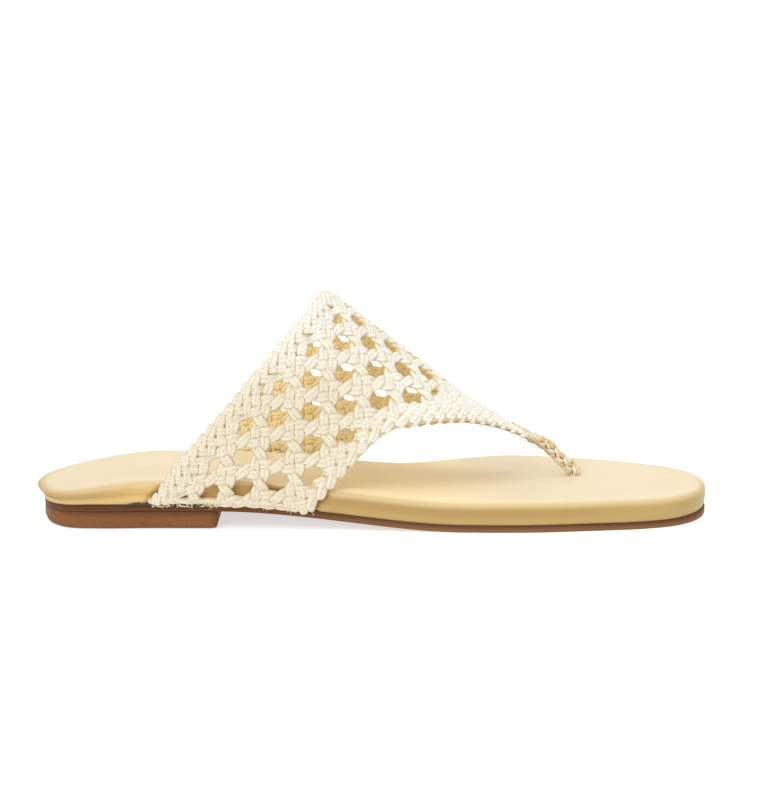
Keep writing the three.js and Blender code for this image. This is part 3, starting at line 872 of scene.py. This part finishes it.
def postLines():
    top = shell(upper["strapEnd"], 0.0)
    level = soleRise(postFoot[0]) + footbedLift + footbed["thickness"]
    points = [shell(upper["strapEnd"] - 8, 0.0), shell(upper["strapEnd"] - 4, 0.0), top]
    low = np.array([*postFoot, level])
    points += [blend(top, low, np.array([ahead, ahead, fall])) for ahead, fall in postRoute]
    points.append([*postFoot, seatRise(postFoot[0]) + 1.5])
    line, length = smoothLine(points)
    places = np.arange(0, length[-1], 0.5)
    centre = alongLine(line, length, places)
    side = np.array([0, 1.0, 0])
    above = unit(np.cross(unit(np.gradient(centre, axis=0)), side))
    for n in range(post["cords"]):
        turn = 2 * math.pi * (n / post["cords"] + places / post["pitch"])
        drawn = ease(post["drawnStart"], post["drawnEnd"], places)[:, None]
        sway, lift = np.cos(turn)[:, None], np.sin(2 * turn)[:, None]
        flat = post["spread"] * (n - (post["cords"] - 1) / 2) * side + 0.3 * above
        plait = post["sway"] * sway * above - post["lift"] * lift * side
        normal = unit(blend(above, 0.5 * sway * above - side, drawn))
        scale = 1 + post["knot"] * drawn[:, 0] * np.sin(2 * turn)
        yield evenSteps(centre + blend(flat, plait, drawn), normal, scale)


# A thin cord bound along the front edge; one end runs on below the strap

selvedge = {
    "start": 38,
    "inset": 0.75,
    "width": 1.5,
    "thickness": 1.9,
    "sides": 8,
    "loose": 10,
    "droop": 2.2,
}


def selvedgeLines():
    for name in ("near", "far"):
        edge = edges[name]
        u = np.arange(selvedge["start"], edge["length"][-1], 0.8)
        s, g = onEdge(edge, u, selvedge["inset"] + farDraw(name, u))
        keep = s < upper["strapEnd"]
        s, g = s[keep], g[keep]
        point, normal = shell(s, g), shellNormal(s, g)
        scale = ease(0, 10, u[keep] - selvedge["start"])
        if name == "near":
            t = np.linspace(0.1, 1, 9)[:, None]
            run = unit(point[-1] - point[-4])
            end = point[-1] + t * selvedge["loose"] * run - t ** 2 * (0, 0, selvedge["droop"])
            point = np.concatenate([point, end])
            normal = np.concatenate([normal, np.repeat(normal[-1:], 9, 0)])
            scale = np.concatenate([scale, 1 - 0.6 * t[:, 0]])
        yield evenSteps(point, normal, np.maximum(scale, 0.2), 0.8)


# Glue that shows at the joint, and the loose fibres of cut cord ends

glue = {
    "near": (-93, -55),
    "slit": (-39, -33),
    "far": (-84, -50),
    "width": 1.0,
    "thickness": 0.7,
    "sides": 8,
    "seed": 8,
}
fibres = {
    "count": 150,
    "tufts": (0.38, 0.7, 0.93),
    "seatRuns": ((-80, -52), (-40, -22)),
    "width": 0.32,
    "thickness": 0.32,
    "groove": 0.0,
    "sides": 6,
    "seed": 9,
}


def glueLines():
    rng = np.random.default_rng(glue["seed"])
    for name, edge, side in (("near", outerEdge, -1), ("slit", outerEdge, -1), ("far", innerEdge, 1)):
        run = glue[name]
        x = np.arange(run[0], run[1], 0.7)
        rough = np.convolve(rng.normal(size=len(x) + 4), np.ones(5) / 5, "valid")
        z = seatRise(x) + 0.15 + rough * 0.25
        ends = ease(0, 5, np.minimum(x - run[0], run[1] - x))
        point = np.column_stack([x, sideAt(edge, x) - side * (0.75 - 0.35 * ends), z])
        normal = np.column_stack([0 * x, side + 0 * x, 0.2 + 0 * x])
        scale = (0.35 + 0.65 * ends) * (0.75 + 0.6 * np.abs(rough))
        yield evenSteps(point, normal, scale)


def fibreLines():
    rng = np.random.default_rng(fibres["seed"])
    strands = list(postLines())
    for n in range(fibres["count"]):
        t = np.linspace(0, 1, 6)[:, None]
        if n % 3:
            x = rng.uniform(*fibres["seatRuns"][n % 3 - 1])
            start = np.array([x, sideAt(outerEdge, x) - 0.2, seatRise(x) + rng.uniform(0.2, 1.4)])
            reach = np.array([rng.normal() * 1.2, -0.35, -abs(rng.normal()) * 0.9 - 0.2])
        else:
            strand = strands[n % len(strands)]
            last = len(strand["point"]) - 4
            at = int(last * (fibres["tufts"][n // 3 % 3] + rng.uniform(0, 0.04)))
            start = strand["point"][at] + strand["normal"][at] * 0.9 + np.array([0, 0, 0.4])
            reach = strand["normal"][at] * rng.uniform(0.4, 1.2) + np.array([rng.normal() * 1.3, -0.3, 0.9])
        bend = rng.normal(size=3) * 0.4
        point = start + reach * t + bend * t ** 2
        normal = np.tile([0.0, 0.0, 1.0], (6, 1)) + 0.01
        yield evenSteps(point, normal, 1 - 0.6 * t[:, 0], 0.5)


# Geometry Nodes: sweep every line of a piece

def lineMesh(name, lines):  # loose edges that carry each point's normal, width and place along the cord
    points = np.concatenate([line["point"] for line in lines]) * mm
    counts = np.array([len(line["point"]) for line in lines])
    starts = np.cumsum(counts) - counts
    edgeList = [(a + i, a + i + 1) for a, c in zip(starts, counts) for i in range(c - 1)]
    mesh = bpy.data.meshes.new(name)
    mesh.from_pydata(points.tolist(), edgeList, [])
    shades = np.random.default_rng(cord["seed"]).random(len(lines))
    storeColumn(mesh, "cordScale", np.concatenate([line["scale"] for line in lines]))
    storeColumn(mesh, "cordAlong", np.concatenate([line["along"] for line in lines]))
    storeColumn(mesh, "cordShade", np.repeat(shades, counts))
    normals = np.concatenate([line["normal"] for line in lines])
    storeColumn(mesh, "cordNormal", normals, "FLOAT_VECTOR", "vector")
    return addObject(name, mesh)


def storeNumber(graph, geometry, name, value):
    values = {"Geometry": geometry, "Name": name, "Value": value}
    return graph.node("GeometryNodeStoreNamedAttribute", values)


def named(graph, name, kind="FLOAT"):
    return graph.node("GeometryNodeInputNamedAttribute", {"Name": name}, {"data_type": kind})


def cordTree():
    tree = bpy.data.node_groups.new("layCords", "GeometryNodeTree")
    tree.interface.new_socket("Geometry", in_out="INPUT", socket_type="NodeSocketGeometry")
    for title in ("Width", "Thickness", "Groove"):
        tree.interface.new_socket(title, in_out="INPUT", socket_type="NodeSocketFloat")
    tree.interface.new_socket("Sides", in_out="INPUT", socket_type="NodeSocketInt")
    tree.interface.new_socket("Material", in_out="INPUT", socket_type="NodeSocketMaterial")
    tree.interface.new_socket("Geometry", in_out="OUTPUT", socket_type="NodeSocketGeometry")
    graph = Graph(tree)
    start = tree.nodes.new("NodeGroupInput")
    given = {socket.name: Wire(graph, socket) for socket in start.outputs if socket.name}
    values = {"Resolution": given["Sides"], "Radius": 1.0}
    circle = graph.node("GeometryNodeCurvePrimitiveCircle", values, {"mode": "RADIUS"})
    place = graph.node("GeometryNodeInputPosition")
    over, across = (graph.node("ShaderNodeSeparateXYZ", {0: place}, out=axis) for axis in "XY")
    stored = storeNumber(graph, storeNumber(graph, circle, "cordAcross", across), "cordFace", over)
    dip = 1 - given["Groove"] * (1 - across.absolute() / 0.45).clamped()
    high = over * dip * (given["Thickness"] / 2)
    wide = across * (given["Width"] / 2)
    values = {"Geometry": stored, "Position": graph.vector(high, wide, 0.0)}
    section = graph.node("GeometryNodeSetPosition", values)
    lines = graph.node("GeometryNodeMeshToCurve", {0: given["Geometry"]})
    values = {"Curve": lines, "Normal": named(graph, "cordNormal", "FLOAT_VECTOR")}
    facing = graph.node("GeometryNodeSetCurveNormal", values, {"mode": "FREE"})
    values = {"Curve": facing, "Profile Curve": section, "Fill Caps": True}
    swept = graph.node("GeometryNodeCurveToMesh", {**values, "Scale": named(graph, "cordScale")})
    smooth = graph.node("GeometryNodeSetShadeSmooth", {"Geometry": swept, "Shade Smooth": True})
    loose = graph.node("GeometryNodeRealizeInstances", {0: smooth})
    painted = graph.node("GeometryNodeSetMaterial", {"Geometry": loose, "Material": given["Material"]})
    last = tree.nodes.new("NodeGroupOutput")
    tree.links.new(painted.socket, last.inputs[0])
    return tree


def layCords(name, lines, material, section=cord):  # what section leaves out is as in cord
    lines, sizes = list(lines), {**cord, **section}
    piece = lineMesh(name + "Lines", lines)
    modifier = piece.modifiers.new("layCords", "NODES")
    modifier.node_group = cordNodes
    inputs = {"Width": sizes["width"] * mm, "Thickness": sizes["thickness"] * mm,
              "Groove": sizes["groove"], "Sides": sizes["sides"], "Material": material}
    for item in cordNodes.interface.items_tree:
        if item.in_out == "INPUT" and item.name in inputs:
            modifier[item.identifier] = inputs[item.name]
    bpy.context.view_layer.update()
    shown = piece.evaluated_get(bpy.context.evaluated_depsgraph_get())
    mesh = bpy.data.meshes.new_from_object(shown)
    mesh.name = name
    made = addObject(name, mesh)
    bpy.data.objects.remove(piece)
    print(name, len(lines), "cords,", sum(len(p.vertices) - 2 for p in mesh.polygons), "triangles")
    return made


# A thin woven core fills the dense bands under their stitches, so no holes show; its tan is painted shade in
# the gaps between the stitches

core = {
    "thickness": 0.8,
    "rear": 5.0,
    "near": 6.6,
    "far": 6.6,
    "start": 2.2,
}


def coreSheet(name, s, g, material):  # s and g are grids; a closed sheet round that surface
    rows, columns = s.shape
    normal = shellNormal(s, g)
    middle = shell(s, g)
    half = core["thickness"] / 2
    points = np.concatenate([(middle + normal * way * half).reshape(-1, 3) for way in (1, -1)])
    grid = np.arange(rows * columns).reshape(rows, columns)
    top = np.stack([grid[:-1, :-1], grid[:-1, 1:], grid[1:, 1:], grid[1:, :-1]], -1).reshape(-1, 4)
    rim = np.concatenate([grid[0], grid[1:, -1], grid[-1, -2::-1], grid[-2:0:-1, 0]])
    after = np.roll(rim, -1)
    wall = np.stack([after, rim, grid.size + rim, grid.size + after], -1)
    return meshPiece(name, points, np.concatenate([top, grid.size + top[:, ::-1], wall]).tolist(), material)


def bandCore(name, material):
    edge = edges[name]
    u = np.linspace(0, edge["length"][-1], 160)
    d = np.linspace(core["start"], core[name], 5)
    s, g = onEdge(edge, u[:, None], d[None, :])
    if name != "rear":
        way = -1 if name == "near" else 1
        g = way * np.maximum(g * way, 0.02)
    points = shell(s, g)
    keep = (points[..., 2] > seatRise(points[..., 0]).clip(0) + 0.5).all(1)
    return coreSheet(name + "Core", s[keep], g[keep], material)


def strapCore(material):
    s = np.linspace(weave["strapStart"] - 3, upper["strapEnd"], 40)[:, None]
    half = np.interp(s, edgeLine[:, 0], edgeLine[:, 1]) - core["start"]
    g = np.linspace(-1, 1, 25)[None, :] * half
    return coreSheet("strapCore", s + 0 * g, g, material)


# Finishes

# crease and deep set the painted shade in the cords' grooves and along their sides; tone is the darker end
# of the tan, which paints the post's golden streaks and the painted shade on the cords' inward faces
def cordFinish(graph, golden=0.0, crease=(0.74, 0.5, 0.18), deep=1.0, tone=(0.84, 0.63, 0.29)):
    across, face = graph.attribute("cordAcross"), graph.attribute("cordFace")
    along, shade = graph.attribute("cordAlong"), graph.attribute("cordShade")
    streaks = graph.noise(graph.vector(along * 0.13, across * 2.6, face + shade * 9), 3.0, 2, 0.5)
    cloudy = graph.noise(graph.places(), 60, 3)
    wander = (along * 0.9 + shade * 40).sine() * 0.07
    ply = ((across + wander) * 3.14).sine().absolute()
    valley = 1 - ply.between(0.0, 0.32)
    cream = graph.mix(cloudy.between(0.3, 0.7), (0.88, 0.87, 0.81), (0.93, 0.93, 0.9))
    cream = graph.mix(streaks.between(0.5, 0.75) * 0.35, cream, (0.82, 0.74, 0.54))
    # Painted shade: cords towards the rear (x below about -0.025 m) and low down (z below about 0.05 m) are
    # painted darker and browner, as the light falls from above and the front
    rearLowShade = (1 - graph.place("X").between(-0.025, 0.03)) * (1 - graph.place("Z").between(0.05, 0.08))
    cream = graph.mix(rearLowShade * 0.55, cream, (0.66, 0.56, 0.36))
    tan = graph.mix(cloudy, tone, (0.96, 0.83, 0.52))
    # Painted shade: the grooves between the plies and the sides of each cord are painted in the crease
    # colour, scaled by deep
    edge = across.absolute().between(0.8, 1.0)
    colour = graph.mix((golden * streaks.between(0.35, 0.6)).clamped(), cream, tan)
    colour = graph.mix(((valley * 0.34 + edge * 0.5) * deep).clamped(), colour, crease)
    # Painted shade: each cord's inward face, towards the foot, is painted tan, standing in for the shade and
    # warm bounce light inside the upper
    colour = graph.mix(1 - face.between(-0.45, 0.15), colour, tan)
    fibre = (across.absolute() * 6.5 + along * 4.4 + streaks * 3).sine()
    height = ply.between(0.0, 0.8) * 0.7 + streaks * 0.9 + fibre * 0.22
    return {"Base Color": colour, "Roughness": 0.6, "Specular IOR Level": 0.3,
            "Normal": graph.bump(height, 0.00036, 1.0)}


# The post and the selvedge cord get a darker brown painted shade in their grooves and a deeper tan painted
# shade on their inward faces
def postFinish(graph):
    return cordFinish(graph, 1.0, (0.22, 0.11, 0.025), 1.8, (0.66, 0.43, 0.13))


def fibreFinish(graph):
    cloudy = graph.noise(graph.places(), 300, 2)
    return {"Base Color": graph.mix(cloudy, (0.8, 0.6, 0.28), (0.9, 0.84, 0.66)), "Roughness": 0.7}


def mottled(graph, scale, dark, light, roughness, distance):
    cloudy = graph.noise(graph.places(), scale)
    colour = graph.mix(cloudy, dark, light)
    return {"Base Color": colour, "Roughness": roughness, "Normal": graph.bump(cloudy, distance)}


def glueFinish(graph):
    return mottled(graph, 700, (0.008, 0.007, 0.006), (0.05, 0.035, 0.025), 0.35, 0.0004)


# The core's mottled tan is painted shade, seen in the gaps between the stitches
def coreShadeFinish(graph):
    return mottled(graph, 600, (0.6, 0.43, 0.18), (0.82, 0.66, 0.38), 0.75, 0.0006)


def footbedFinish(graph):
    rise, ahead = graph.attribute("padRise"), graph.place("X")
    streak = graph.noise(graph.places((9, 60, 60)), 4, 4, 0.55)
    grain = graph.noise(graph.places(), 900, 3)
    wrinkle = graph.noise(graph.places((150, 40, 25)), 1.0, 4, 0.6)
    fore = ahead.between(-0.1, -0.03)
    # The side is painted far darker than the top and the lower wall lighter than the side: painted shade on
    # the side, which faces away from the overhead light
    side = graph.mix(streak, (0.4, 0.27, 0.095), (0.46, 0.32, 0.125))
    side = graph.mix(fore, side, graph.mix(streak, (0.36, 0.235, 0.07), (0.41, 0.275, 0.09)))
    side = graph.mix(ahead.between(0.06, 0.11), side, (0.43, 0.3, 0.105))
    low = graph.mix(fore, (0.54, 0.39, 0.155), (0.44, 0.3, 0.105))
    top = graph.mix(streak, (0.74, 0.63, 0.43), (0.79, 0.71, 0.54))
    # Painted light: between x = -0.11 and -0.06 m, under the wings, the lower wall and side are painted
    # lighter and golden, standing in for warm light bounced off the cords
    shade = (1 - ahead.between(-0.06, -0.03)) * ahead.between(-0.11, -0.07)
    low = graph.mix(shade * 0.6, low, (0.8, 0.56, 0.2))
    side = graph.mix(shade * 0.6, side, (0.8, 0.56, 0.2))
    # Painted light: the top under the upper and strap, between x = -0.06 and 0.06 m, is painted golden,
    # standing in for warm light bounced off the cords into the shade
    underUpperBounce = ahead.between(-0.06, -0.02) * (1 - ahead.between(0.02, 0.06))
    top = graph.mix(underUpperBounce * 0.85, top, (0.96, 0.82, 0.52))
    # Up the side by padRise: the lower wall, the darker side band of painted shade, a painted-shade mid tone
    # over the rounded edge, then the top
    colour = graph.mix(rise.between(0.1, 0.45), low, side)
    colour = graph.mix(rise.between(0.6, 0.9), colour, (0.62, 0.48, 0.25))
    colour = graph.mix(rise.between(0.87, 1.0), colour, top)
    # Painted shade: the lowest rim of the side, at the joint with the outsole, is painted dark
    colour = graph.mix((1 - rise.between(0.0, 0.05)) * 0.6, colour, (0.3, 0.18, 0.07))
    height = grain * 0.2 + wrinkle * 0.8 * (1 - rise.between(0.85, 1.05)) + streak * 0.5
    return {"Base Color": colour, "Roughness": 0.4 + streak * 0.14, "Coat Weight": 0.15,
            "Coat Roughness": 0.3, "Specular IOR Level": 0.35, "Normal": graph.bump(height, 0.0005, 0.6)}


def outsoleFinish(graph):
    rise, ahead = graph.attribute("edgeRise"), graph.place("X")
    streak = graph.noise(graph.places((25, 25, 900)), 1, 4, 0.6)
    speck = graph.noise(graph.places(), 1400, 3, 0.7)
    colour = graph.mix(streak, (0.065, 0.02, 0.004), (0.15, 0.055, 0.014))
    fore = graph.mix(streak, (0.12, 0.05, 0.018), (0.28, 0.135, 0.055))
    colour = graph.mix(ahead.between(-0.06, 0.02), colour, fore)
    colour = graph.mix(rise.between(0.35, 0.9) * 0.65, colour, (0.055, 0.024, 0.011))
    colour = graph.mix(speck.between(0.6, 0.75) * 0.3, colour, (0.32, 0.17, 0.08))
    return {"Base Color": colour, "Roughness": 0.55, "Specular IOR Level": 0.2,
            "Normal": graph.bump(streak + speck * 0.3, 0.0003, 0.7)}


def heelFinish(graph):
    rise = graph.attribute("edgeRise")
    speck = graph.noise(graph.places((1, 1, 1.6)), 900, 4, 0.7)
    layer = graph.noise(graph.places((14, 14, 420)), 1, 3, 0.5)
    colour = graph.mix(layer, (0.15, 0.056, 0.016), (0.24, 0.1, 0.033))
    colour = graph.mix(speck.between(0.55, 0.7) * 0.35, colour, (0.38, 0.2, 0.1))
    colour = graph.mix((1 - speck.between(0.3, 0.42)) * 0.5, colour, (0.09, 0.035, 0.012))
    colour = graph.mix(rise.between(0.6, 1.0) * 0.7, colour, (0.085, 0.034, 0.014))
    height = speck * 0.6 + layer * 0.5
    return {"Base Color": colour, "Roughness": 0.6, "Specular IOR Level": 0.2,
            "Normal": graph.bump(height, 0.0004, 0.7)}


def floorFinish(graph):
    cloudy = graph.noise(graph.places(), 3, 2)
    return {"Base Color": graph.mix(cloudy, (0.6, 0.6, 0.6), (0.62, 0.62, 0.62)), "Roughness": 0.9,
            "Emission Color": (1, 1, 1, 1), "Emission Strength": 0.62}


# The pieces

wovenCord = newMaterial("wovenCord", cordFinish)
coreShadeCloth = newMaterial("coreShadeCloth", coreShadeFinish)
darkGlue = newMaterial("darkGlue", glueFinish)
postCord = newMaterial("postCord", postFinish)
fibre = newMaterial("fibre", fibreFinish)

settle(makeHeel(newMaterial("heelLeather", heelFinish)), ["heel_block"])
settle(makeOutsole(newMaterial("soleLeather", outsoleFinish)), ["outsole"])
settle(makeFootbed(newMaterial("footbedLeather", footbedFinish)), ["footbed"])
print("sole done")

cordNodes = cordTree()
settle(layCords("forwardCords", fieldLines(0), wovenCord), stands=["upper"])
settle(layCords("crossCords", fieldLines(1), wovenCord))
for name in ("rear", "near", "far"):
    settle(layCords(name + "Border", borderLines(name), wovenCord))
settle(layCords("strapBraid", strapLines(), wovenCord))
settle(layCords("toePost", postLines(), postCord, post))
settle(layCords("selvedgeCord", selvedgeLines(), postCord, selvedge))
settle(layCords("footCords", [*footLines(), *cornerLines()], wovenCord))
settle(layCords("glueLine", glueLines(), darkGlue, glue))
settle(layCords("looseFibres", fibreLines(), fibre, fibres))
for name in ("rear", "near", "far"):
    settle(bandCore(name, coreShadeCloth))
settle(strapCore(coreShadeCloth))
print("upper done")


# Camera, floor and light

studio = {
    "cameraPlace": (5.166, -981.489, 230.809),
    "cameraAim": (5.166, 0.138, 40),
    "lens": 115.56,
    "floorSize": 40000,
    "floorDrop": 0.05,
    "worldColour": (1, 0.94, 0.83, 1),
    "worldLight": 0.62,
    "lightAim": (0, 0, 0.03),
    "lights": [  # name, place in metres, spread in degrees, power
        ("frontLight", (-0.45, -0.95, 0.85), 50, 1.5),
        ("topLight", (0.35, 0.15, 1.2), 60, 0.9),
        ("backLight", (0.3, 1.0, 0.9), 50, 0.3),
    ],
}
cameraData = bpy.data.cameras.new("camera")
cameraData.sensor_fit = "VERTICAL"
cameraData.sensor_height = 36
cameraData.lens = studio["lens"]
cameraData.clip_start, cameraData.clip_end = 0.05, 50
camera = addObject("camera", cameraData)
place, aim = Vector(studio["cameraPlace"]) * mm, Vector(studio["cameraAim"]) * mm
camera.location = place
camera.rotation_euler = (aim - place).to_track_quat("-Z", "Y").to_euler()
bpy.context.scene.camera = camera

half = studio["floorSize"] / 2
corners = [(x * half, y * half, -studio["floorDrop"]) for x, y in ((-1, -1), (1, -1), (1, 1), (-1, 1))]
floor = meshPiece("floor", corners, [(0, 1, 2, 3)], newMaterial("paper", floorFinish))


def addLight(name, place, spread, power):
    data = bpy.data.lights.new(name, "SUN")
    data.angle, data.energy = math.radians(spread), power
    light = addObject(name, data)
    light.location = place
    way = Vector(studio["lightAim"]) - Vector(place)
    light.rotation_euler = way.to_track_quat("-Z", "Y").to_euler()


for light in studio["lights"]:
    addLight(*light)
world = bpy.data.worlds.new("studio")
world.use_nodes = True
world.node_tree.nodes["Background"].inputs[0].default_value = studio["worldColour"]
world.node_tree.nodes["Background"].inputs[1].default_value = studio["worldLight"]
bpy.context.scene.world = world
bpy.context.scene.view_settings.view_transform = "Standard"
print("studio done")
